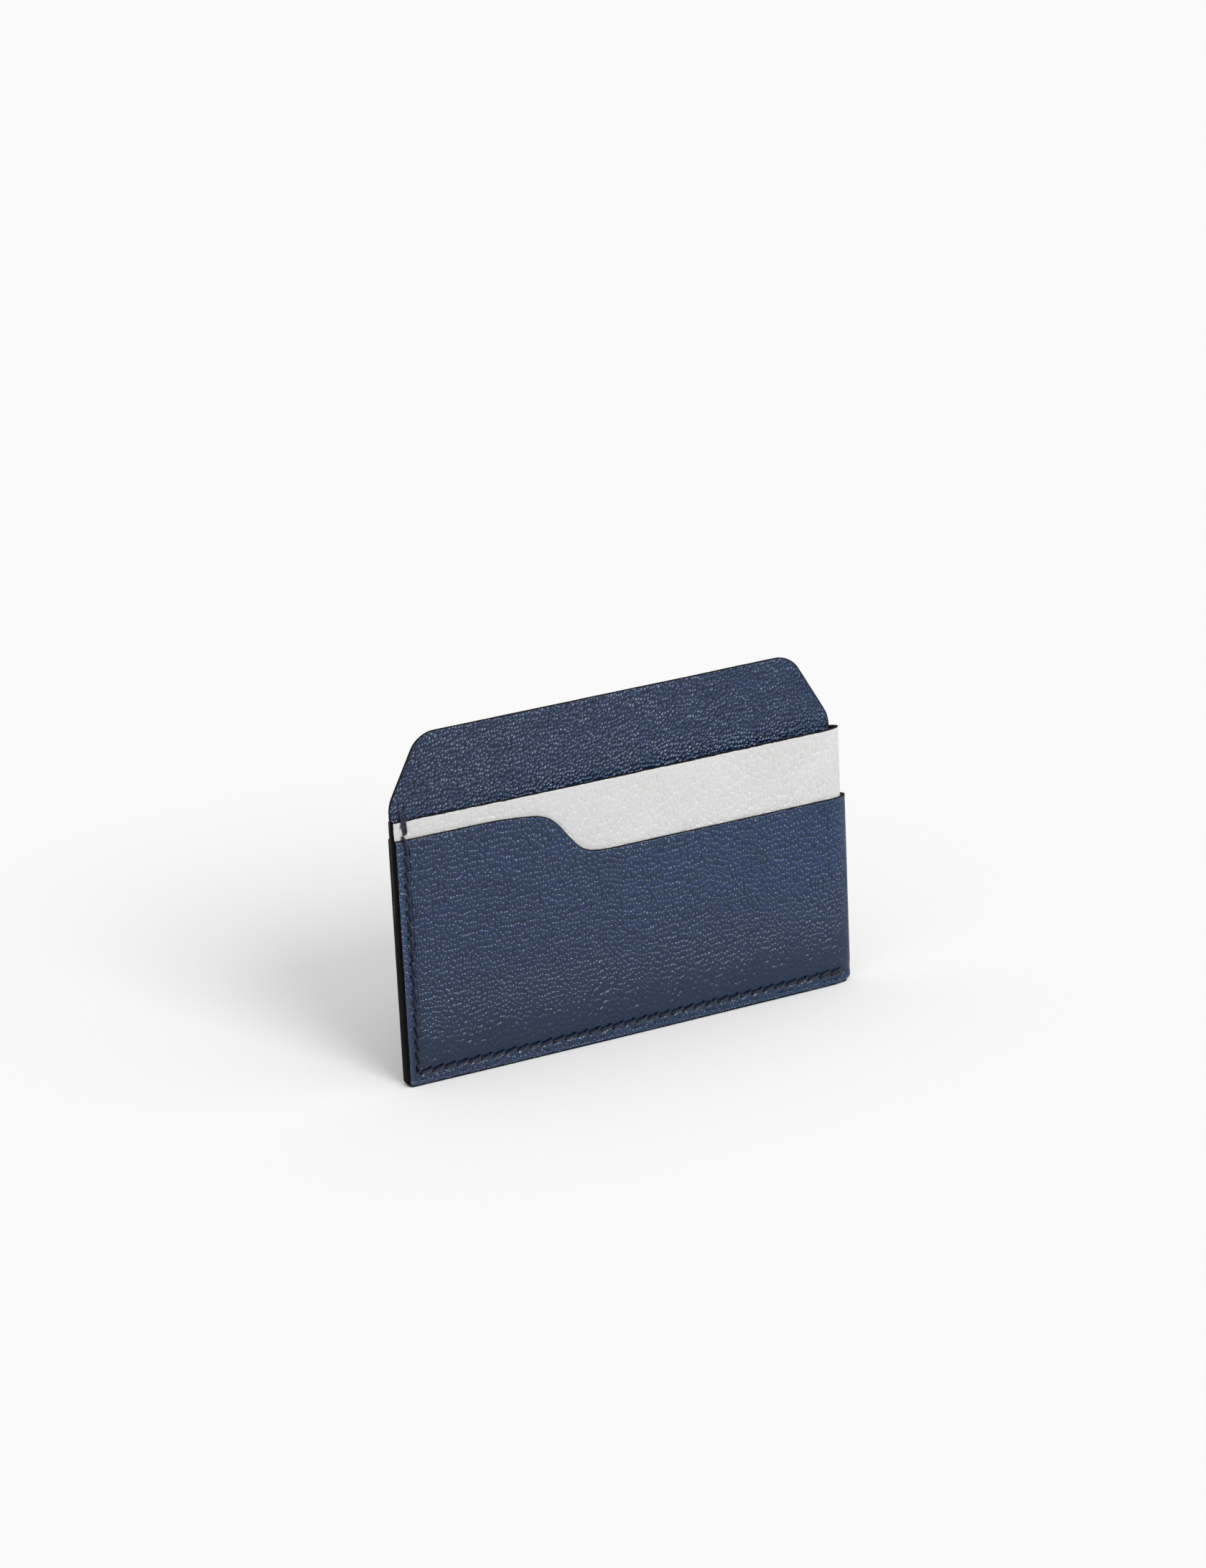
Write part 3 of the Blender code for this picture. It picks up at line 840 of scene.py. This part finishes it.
# Grains. Lengths are in mm.
#   cell    width and height of a pebble
#   wave    how far the rows of pebbles wander
#   loose   how irregular the pebbles' places are, 0 to 1
#   slant   how far a pebble leans sideways
#   brow    height above a pebble's middle from where its face leans back
#   facet   how strongly the face leans back
#   curl    growth of the lean with height, and its first value
#   bow     how round a pebble is from side to side
#   groove  depth of the creases between pebbles
#   fine    height of the finest unevenness
#   low     share of the relief left near the bottom edge, which hands press flat
#   lip     share of the relief left beside a lip
#   patch   share of the relief left in the flattest patches
#   mottle  unevenness of the colour
FRONT_GRAIN = {"cell": (0.61, 1.08), "wave": 1.9, "loose": 0.66, "slant": 0.15, "brow": 0.22, "facet": 0.52,
               "curl": (1.7, 0.65), "bow": 0.55, "groove": 0.025, "fine": 0.015, "low": 0.25, "lip": 0.60,
               "patch": 0.92, "mottle": 0.05}
PANEL_GRAIN = {"cell": (0.62, 0.84), "wave": 1.7, "loose": 0.80, "slant": 0.50, "brow": -0.04, "facet": 0.55,
               "curl": (0.9, 0.75), "bow": 0.50, "groove": 0.035, "fine": 0.02, "low": 1.0, "lip": 0.8,
               "patch": 0.97, "mottle": 0.04}
GREY_GRAIN = {"cell": (0.72, 1.00), "wave": 1.6, "loose": 0.85, "slant": 0.15, "brow": 0.20, "facet": 0.25,
              "curl": (1.2, 0.5), "bow": 0.12, "groove": 0.006, "fine": 0.008, "low": 1.0, "lip": 0.5,
              "patch": 0.85, "mottle": 0.008}
ROW_STRETCH = (1.0, 0.35, 1.0)   # the rows' wandering is slower up the hide
SHAKE = (0.3, 0.45, 0.0)         # how far single pebbles are moved
CREASE_REACH = 0.16              # share of a pebble that its crease takes up
LEAN_RANGE = (0.7, 1.25)         # least and most lean of a pebble, as shares of its facet
MOST_TURN = 0.36                 # most sideways tilt of a pebble
MIDDLE = (0.5, 0.5, 0.5)         # mean of a noise's colour


def pebbles(nodes, hide, grain):
    """Grain of goat leather: rows of pebbles whose brows lean back. Gives height in mm and a lightness that
    is painted shade on the pebbles' flanks, lower sides and creases.
    """
    wide, tall = grain["cell"]
    wave = grain["wave"]
    slow = nodes.noise(nodes.vector("MULTIPLY", hide, ROW_STRETCH), 0.11, 1.0, "Color")
    quick = nodes.noise(hide, 0.55, 1.0, "Color")
    shift = nodes.vector("MULTIPLY", nodes.vector("SUBTRACT", slow, MIDDLE), (0.4 * wave, 2.0 * wave, 0.0))
    shake = nodes.vector("MULTIPLY", nodes.vector("SUBTRACT", quick, MIDDLE), SHAKE)
    spot = nodes.vector("ADD", nodes.vector("ADD", hide, shift), shake)
    spot = nodes.vector("MULTIPLY", spot, (1.0 / wide, 1.0 / tall, 0.0))
    crease = nodes.ramp(nodes.cells(spot, "DISTANCE_TO_EDGE", grain["loose"])["Distance"], 0.0, CREASE_REACH)
    cell = nodes.cells(spot, "F1", grain["loose"])
    local = nodes.axes(nodes.vector("SUBTRACT", spot, cell["Position"]))
    chance = nodes.add("ShaderNodeSeparateColor", Color=cell["Color"]).outputs

    rise = nodes.math("MULTIPLY", local["Y"], tall)
    side = nodes.math("MULTIPLY_ADD", rise, -grain["slant"], nodes.math("MULTIPLY", local["X"], wide))
    lean = nodes.ramp(chance[0], 0.0, 1.0, *(share * grain["facet"] for share in LEAN_RANGE), smooth=False)
    turn = nodes.ramp(chance[1], 0.0, 1.0, 0.0, MOST_TURN, smooth=False)
    above = nodes.math("MAXIMUM", nodes.math("SUBTRACT", rise, grain["brow"]), 0.0)
    brow = nodes.math("MULTIPLY", above, nodes.math("MULTIPLY_ADD", above, *grain["curl"]))
    brow = nodes.math("MULTIPLY", brow, lean)
    bow = nodes.math("MULTIPLY", nodes.math("MULTIPLY", side, side), grain["bow"])
    height = nodes.math("SUBTRACT", nodes.math("MULTIPLY", side, turn), nodes.math("ADD", brow, bow))
    height = nodes.math("MULTIPLY_ADD", crease, grain["groove"], height)
    height = nodes.math("MULTIPLY_ADD", nodes.noise(hide, 5.0), grain["fine"], height)

    # Painted shade: each pebble is darker on its flanks, on its lower side and in its creases.
    flank = nodes.ramp(nodes.math("ABSOLUTE", side), 0.28 * wide, 0.5 * wide, 1.0, 0.25)
    skirt = nodes.ramp(rise, -0.5 * tall, 0.0, 0.35, 1.0)
    light = nodes.math("MULTIPLY", flank, skirt)
    light = nodes.math("MULTIPLY", light, nodes.ramp(crease, 0.0, 1.0, 0.6, 1.0))
    return height, light


# Dyes: a painted shade colour for the creases and the pebbles' shaded sides, and the lit colour on the
# pebbles; painted shade near the bottom and a painted light gradient from the left to the right; shine.
BLUE_DYE = {"shade_colour": (0.001, 0.004, 0.018), "high": (0.0020, 0.0195, 0.069), "shade_by_place": (0.56, 0.88, 1.12),
            "roughness": 0.24, "specular": 0.49, "tint": (0.86, 0.93, 1.0)}
GREY_DYE = {"shade_colour": (0.454, 0.454, 0.451), "high": (0.466, 0.466, 0.463), "shade_by_place": (1.0, 0.93, 1.02),
            "roughness": 0.36, "specular": 0.40, "tint": (1.0, 1.0, 1.0)}
FLESH_AND_SHADE = (0.006, 0.006, 0.005)            # raw side of the leather, near black: its own dark colour and painted shade inside the pockets and folds
PALE_EDGE_BLUE = (0.030, 0.052, 0.105)
PAINT_FLECK = (0.05, 0.045, 0.04)
NOISE_SPAN = (0.32, 0.68)                # where most of a noise's values lie
MEAN_LIGHT = 0.72                        # mean lightness of the pebbles' painted shade
LEAST_CONTRAST = 0.60                    # contrast of the painted shade on the pebbles where the grain is flat

# Where the relief changes over the hide: from, to, relief at each.
STRIP_RELIEF = (2.0, 1.4, 0.0, 1.3)      # height: fresh grain on the strip below the seam
SIDE_RELIEF = (0.7, 2.0, 0.6, 1.0)       # distance from the stitched side
FOLD_RELIEF = (50.0, 95.0, 1.0, 1.1)     # towards the fold
STRIP_TONE = (2.5, 1.7, 0.0, 0.88)       # height: less painted shade near the bottom on the strip below the seam


def rubbed_edge(nodes, skin, colour):
    """The blue leather is paler along its painted edges."""
    paler = nodes.math("MULTIPLY", nodes.ramp(skin["edge"], 1.7, 0.3), 0.50)
    return nodes.mix(paler, colour, PALE_EDGE_BLUE)


def flecked_lip(nodes, skin, colour):
    """Flecks of the lip's dark paint on the grey leather."""
    fleck = nodes.ramp(nodes.noise(skin["hide"], 4.5), 0.60, 0.66)
    near = nodes.ramp(skin["below_lip"], 0.45, 0.05)
    return nodes.mix(nodes.math("MULTIPLY", fleck, near), colour, PAINT_FLECK)


def leather(name, dye, grain, edge_colour):
    material, nodes, shader = new_material(name)
    skin = {key: nodes.attribute(key) for key in ("below_lip", "edge", "side", "pit", "flesh")}
    hide = skin["hide"] = nodes.attribute("hide", "Vector")
    height, light = pebbles(nodes, hide, grain)
    along, up, _ = nodes.axes(hide)

    relief = nodes.math("MAXIMUM", nodes.ramp(up, 4.0, 24.0, grain["low"], 1.0),
                        nodes.ramp(up, *STRIP_RELIEF))
    relief = nodes.math("MULTIPLY", relief, nodes.ramp(skin["side"], *SIDE_RELIEF))
    relief = nodes.math("MULTIPLY", relief, nodes.ramp(skin["below_lip"], 0.1, 1.2, grain["lip"], 1.0))
    in_rows = nodes.vector("MULTIPLY", hide, (0.55, 1.0, 1.0))
    patch = nodes.ramp(nodes.noise(in_rows, 0.38), *NOISE_SPAN, grain["patch"], 1.12)
    relief = nodes.math("MULTIPLY", relief, patch)
    relief = nodes.math("MULTIPLY", relief, nodes.ramp(along, *FOLD_RELIEF))
    nodes.bump(shader, nodes.math("MULTIPLY", height, relief), 1.0, MM)

    # Painted shade on the pebbles: the shade colour in the creases and on their flanks and lower sides, the
    # lit colour on their tops.
    contrast = nodes.math("MAXIMUM", relief, LEAST_CONTRAST)
    light = nodes.math("MULTIPLY_ADD", nodes.math("SUBTRACT", light, MEAN_LIGHT), contrast, MEAN_LIGHT)
    colour = nodes.mix(light, dye["shade_colour"], dye["high"])
    # Painted shade near the bottom, eased on the strip below the seam, and a painted light gradient from
    # darker at the left to lighter at the right; the noises are the dye's own random unevenness.
    low, left, right = dye["shade_by_place"]
    unevenness_and_shade = nodes.ramp(nodes.noise(hide, 0.07, 3.0), 0.3, 0.7, 0.975, 1.025)
    bottom_shade = nodes.math("MAXIMUM", nodes.ramp(up, 3.0, 28.0, low, 1.0), nodes.ramp(up, *STRIP_TONE))
    painted_light_across = nodes.ramp(along, 0.0, 100.0, left, right, smooth=False)
    unevenness_and_shade = nodes.math("MULTIPLY", unevenness_and_shade, nodes.math("MULTIPLY", bottom_shade, painted_light_across))
    mottle = nodes.ramp(nodes.noise(in_rows, 0.9), *NOISE_SPAN, 1.0 - grain["mottle"], 1.0 + grain["mottle"])
    unevenness_and_shade = nodes.math("MULTIPLY", unevenness_and_shade, mottle)
    colour = nodes.mix(1.0, colour, nodes.grey(unevenness_and_shade), "MULTIPLY")
    # Painted shade inside the stitch slits.
    slit_shade = tuple(0.12 * c for c in dye["shade_colour"])
    colour = nodes.mix(nodes.math("MULTIPLY", skin["pit"], 0.85), colour, slit_shade)
    # The raw side is near black: its own colour, and painted shade inside the pockets and folds.
    colour = nodes.mix(skin["flesh"], colour, FLESH_AND_SHADE)
    nodes.feed(shader, "Base Color", edge_colour(nodes, skin, colour))

    rough = nodes.ramp(nodes.noise(hide, 1.7), 0.3, 0.7, dye["roughness"] - 0.05, dye["roughness"] + 0.06)
    nodes.feed(shader, "Roughness", rough)
    shader.inputs["Specular IOR Level"].default_value = dye["specular"]
    shader.inputs["Specular Tint"].default_value = (*dye["tint"], 1.0)
    return material


def edge_paint(name, colour, roughness, specular):
    material, nodes, shader = new_material(name)
    spot = nodes.object_place()
    brush = nodes.noise(spot, 900.0, 3.0)
    tint = nodes.mix(nodes.ramp(brush, 0.35, 0.75), colour, tuple(1.6 * c for c in colour))
    nodes.feed(shader, "Base Color", tint)
    rough = nodes.ramp(nodes.noise(spot, 350.0), 0.3, 0.7, roughness - 0.06, roughness + 0.1)
    nodes.feed(shader, "Roughness", rough)
    shader.inputs["Specular IOR Level"].default_value = specular
    nodes.bump(shader, brush, 0.5, 0.02 * MM)
    return material


def thread_material(name):
    material, nodes, shader = new_material(name)
    fibre = nodes.noise(nodes.vector("MULTIPLY", nodes.object_place(), (5200.0, 5200.0, 5200.0)), 1.0, 3.0)
    lay = nodes.math("SINE", nodes.math("MULTIPLY", nodes.attribute("run"), 38.0))
    mixed = nodes.math("ADD", nodes.math("MULTIPLY", fibre, 0.8), nodes.math("MULTIPLY", lay, 0.1))
    colour = nodes.mix(nodes.ramp(mixed, 0.25, 0.7), (0.006, 0.006, 0.015), (0.021, 0.022, 0.048))
    nodes.feed(shader, "Base Color", colour)
    shader.inputs["Roughness"].default_value = 0.5
    shader.inputs["Specular IOR Level"].default_value = 0.3
    shader.inputs["Sheen Weight"].default_value = 0.08
    nodes.bump(shader, mixed, 0.6, 0.03 * MM)
    return material


def dress(item, material, slot, *replaced):
    item.data.materials.append(material)
    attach(item, "root")
    if replaced:
        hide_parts(*replaced)


# The holder

STRIP_RUN = (EDGE_X, SEAM_STRIP, 30)

outer_wrap, outer_rim, outer_normal = make_wrap(
    "outer_wrap_leather", half=OUTER_HALF, fold_end=OUTER_FOLD_END, lip=outer_lip,
    wing_runs=(STRIP_RUN, (SEAM_STRIP, FOLD_START, 274)), low_z=5.5, row_counts=(24, 96), stitched_from=0.0,
    seed=1)
inner_wrap, inner_rim, inner_normal = make_wrap(
    "inner_wrap_leather", half=INNER_HALF, fold_end=INNER_FOLD_END, lip=inner_lip,
    wing_runs=(STRIP_RUN, (SEAM_STRIP, FOLD_START, 170)), low_z=38.0, row_counts=(12, 40),
    stitched_from=OUTER_LIP_HIGH_Z, seed=2)
panel = make_panel("centre_panel_leather")

front_blue = leather("blue_leather_wrap", BLUE_DYE, FRONT_GRAIN, rubbed_edge)
panel_blue = leather("blue_leather_panel", BLUE_DYE, PANEL_GRAIN, rubbed_edge)
grey = leather("grey_leather_wrap", GREY_DYE, GREY_GRAIN, flecked_lip)
black_paint = edge_paint("edge_paint_black", (0.0030, 0.0029, 0.0029), roughness=0.36, specular=0.01)
lip_paint = edge_paint("edge_paint_lip", (0.006, 0.0045, 0.0035), roughness=0.40, specular=0.10)
stack_paint = make_stack_paint("stack_edge_paint")
outer_bead = make_bead("outer_lip_paint", outer_rim, outer_normal, overlap=0.07, ragged=0.25, seed=21)
inner_bead = make_bead("inner_lip_paint", inner_rim, inner_normal, overlap=0.12, ragged=0.45, seed=25)

dress(outer_wrap, front_blue, "blue_leather", "outer_wrap")
dress(inner_wrap, grey, "grey_leather", "inner_wrap")
dress(panel, panel_blue, "blue_leather", "centre_panel")
dress(stack_paint, black_paint, "edge_paint", "edge_paint")
dress(outer_bead, lip_paint, "edge_paint")
dress(inner_bead, lip_paint, "edge_paint")
dress(make_panel_bead("panel_edge_paint"), lip_paint, "edge_paint")
dress(make_thread("seam_thread"), thread_material("thread_waxed"), "thread", "stitching_thread")


# Stage, light and camera

FLOOR_REACH = 12.0       # metres from the middle to each side


def make_floor():
    size = FLOOR_REACH
    mesh = bpy.data.meshes.new("floor")
    mesh.from_pydata([(-size, -size, 0.0), (size, -size, 0.0), (size, size, 0.0), (-size, size, 0.0)], [],
                     [(0, 1, 2, 3)])
    floor = bpy.data.objects.new("floor", mesh)
    bpy.context.collection.objects.link(floor)
    material, nodes, shader = new_material("pale_paper")
    tooth = nodes.noise(nodes.object_place(), 900.0, 3.0)
    colour = nodes.mix(nodes.ramp(tooth, 0.3, 0.7), (0.771, 0.770, 0.768), (0.781, 0.780, 0.778))
    nodes.feed(shader, "Base Color", colour)
    shader.inputs["Roughness"].default_value = 0.9
    shader.inputs["Specular IOR Level"].default_value = 0.1
    nodes.bump(shader, tooth, 0.3, 0.05 * MM)
    mesh.materials.append(material)


def make_world(horizon, zenith, front):
    """White light all round: front is how much brighter it is towards -Y, and dimmer towards +Y."""
    world = bpy.data.worlds.new("studio")
    bpy.context.scene.world = world
    world.use_nodes = True
    nodes = Nodes(world.node_tree)
    background = world.node_tree.nodes["Background"]
    way = nodes.axes(nodes.add("ShaderNodeTexCoord").outputs["Generated"])
    by_side = nodes.ramp(way["Y"], -1.0, 1.0, 1.0 + front, 1.0 - front, smooth=False)
    by_height = nodes.ramp(way["Z"], 0.0, 0.9, horizon, zenith)
    nodes.feed(background, "Strength", nodes.math("MULTIPLY", by_height, by_side))
    background.inputs["Color"].default_value = (1.0, 1.0, 1.0, 1.0)


def make_key(azimuth, elevation, spread_angle, strength):
    """A large far soft box in front: azimuth in degrees from straight ahead towards +X."""
    light = bpy.data.lights.new("key", "SUN")
    light.angle = math.radians(spread_angle)
    light.energy = strength
    item = bpy.data.objects.new("key", light)
    a, e = math.radians(azimuth), math.radians(elevation)
    way = Vector((math.sin(a) * math.cos(e), -math.cos(a) * math.cos(e), math.sin(e)))
    item.rotation_euler = way.to_track_quat("Z", "Y").to_euler()
    bpy.context.collection.objects.link(item)


def make_camera(location, yaw, pitch, roll, lens):
    """Angles in radians: yaw turns to the right of +Y, pitch looks down. Solved from the photo's outline."""
    forward = Vector((math.sin(yaw) * math.cos(pitch), math.cos(yaw) * math.cos(pitch), -math.sin(pitch)))
    right = Vector((math.cos(yaw), -math.sin(yaw), 0.0))
    up = right.cross(forward)
    axis_x = math.cos(roll) * right + math.sin(roll) * up
    axis_y = math.cos(roll) * up - math.sin(roll) * right
    data = bpy.data.cameras.new("camera")
    data.lens = lens
    data.sensor_width = 36.0
    data.clip_end = 100.0
    camera = bpy.data.objects.new("camera", data)
    camera.matrix_world = Matrix((axis_x, axis_y, -forward)).transposed().to_4x4()
    camera.location = location
    bpy.context.collection.objects.link(camera)
    bpy.context.scene.camera = camera


make_floor()
make_world(horizon=0.61, zenith=1.03, front=0.72)
make_key(azimuth=6.0, elevation=33.0, spread_angle=26.0, strength=1.82)
make_camera((-0.43960, -0.83700, 0.37260), yaw=0.47993, pitch=0.32717, roll=-0.049516, lens=118.09)
bpy.context.scene.view_settings.view_transform = "Standard"
